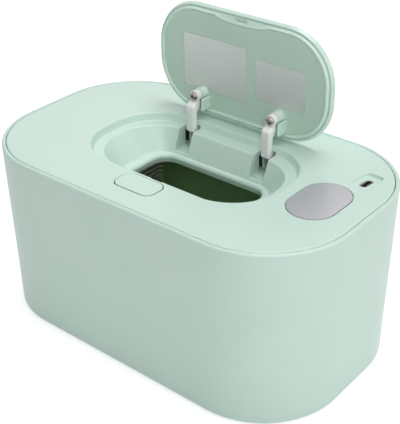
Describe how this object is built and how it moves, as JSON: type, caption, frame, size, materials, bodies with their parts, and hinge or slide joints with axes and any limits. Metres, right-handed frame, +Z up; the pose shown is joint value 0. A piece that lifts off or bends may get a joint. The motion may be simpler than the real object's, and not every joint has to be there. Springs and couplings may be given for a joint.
{
  "type": "wipe warmer",
  "caption": "Oval-ended countertop wipe warmer: drafted tub, lift-off heated deck with a basin and dispensing mouth, and a small lid standing open on two gooseneck arms.",
  "frame": {"origin": "centre of the bounding box at the table surface, under the rubber feet", "axes": "+X along the length towards the display end, +Y towards the lid's hinge side, +Z up"},
  "size_m": [0.225, 0.136, 0.1742],
  "materials": {
    "mint_shell": "satin",
    "mint_deck": "satin",
    "mint_lid": "satin",
    "mint_liner": "satin",
    "mint_button": "satin",
    "bin_plastic": "satin",
    "foam": "closed-cell foam",
    "foot_rubber": "matte",
    "gasket_silicone": "matte",
    "screw_steel": "zinc plated",
    "arm_screw_steel": "plated",
    "spring_steel": "bright",
    "heater_aluminium": "mill",
    "heater_polyimide": "amber film",
    "heater_felt": "needled felt",
    "fuse_ceramic": "matte",
    "sensor_epoxy": "epoxy",
    "lead_sleeve": "silicone",
    "circuit_board": "solder mask",
    "chip_epoxy": "moulded epoxy",
    "header_plastic": "moulded",
    "display_plastic": "dark filter",
    "window_plastic": "pale translucent",
    "socket_steel": "bright",
    "tongue_plastic": "moulded",
    "arm_nylon": "satin",
    "latch_acetal": "satin",
    "label_foil": "silver film"
  },
  "bodies": {
    "base": {"outer_shell": "mint_shell", "inner_bin": "bin_plastic", "insulation_jacket": "foam", "insulation_base": "foam", "rubber_feet": "foot_rubber", "base_screws": "screw_steel"},
    "deck": {"top_panel": "mint_deck", "deck_underside": "mint_deck", "deck_gasket": "gasket_silicone", "deck_screws": "screw_steel", "heater_plate": "heater_aluminium", "heater_film": "heater_polyimide", "heater_pad": "heater_felt", "thermal_fuse": "fuse_ceramic", "temperature_sensor": "sensor_epoxy", "heater_leads": "lead_sleeve", "control_board": "circuit_board", "board_chips": "chip_epoxy", "board_link": "header_plastic", "board_screws": "screw_steel", "display_board": "circuit_board", "led_display": "display_plastic", "display_window": "window_plastic", "usb_socket": "socket_steel", "usb_tongue": "tongue_plastic", "hinge_pin_left": "spring_steel", "hinge_pin_right": "spring_steel", "hinge_spring_left": "spring_steel", "hinge_spring_right": "spring_steel", "button_spring": "spring_steel", "latch_spring": "spring_steel"},
    "button": {"release_button": "mint_button"},
    "latch": {"latch_slide": "latch_acetal"},
    "lid": {"lid_cover": "mint_lid", "lid_liner": "mint_liner", "arm_left": "arm_nylon", "arm_right": "arm_nylon", "arm_screws": "arm_screw_steel", "label_left": "label_foil", "label_right": "label_foil"}
  },
  "joints": [
    {"name": "deck_lift", "type": "slide", "parent": "base", "child": "deck", "axis": [0, 0, 1], "range_m": [0, 0.08]},
    {"name": "lid_hinge", "type": "hinge", "parent": "deck", "child": "lid", "pos_m": [0, 0.04, 0.1], "axis": [1, 0, 0], "range_deg": [0, 90], "stiffness_Nm_per_rad": 0.025, "springref_deg": -20.05, "deforming": ["hinge_spring_left", "hinge_spring_right"]},
    {"name": "button_press", "type": "slide", "parent": "deck", "child": "button", "axis": [0, 0, -1], "range_m": [0, 0.0014], "stiffness_N_per_m": 300, "springref_m": -0.001, "deforming": ["button_spring"]},
    {"name": "latch_travel", "type": "slide", "parent": "deck", "child": "latch", "axis": [0, -1, 0], "range_m": [0, 0.0007], "stiffness_N_per_m": 200, "springref_m": -0.001, "deforming": ["latch_spring"]}
  ],
  "couplings": [
    {"joint": "latch_travel", "follows": "button_press", "ratio": 0.5}
  ]
}
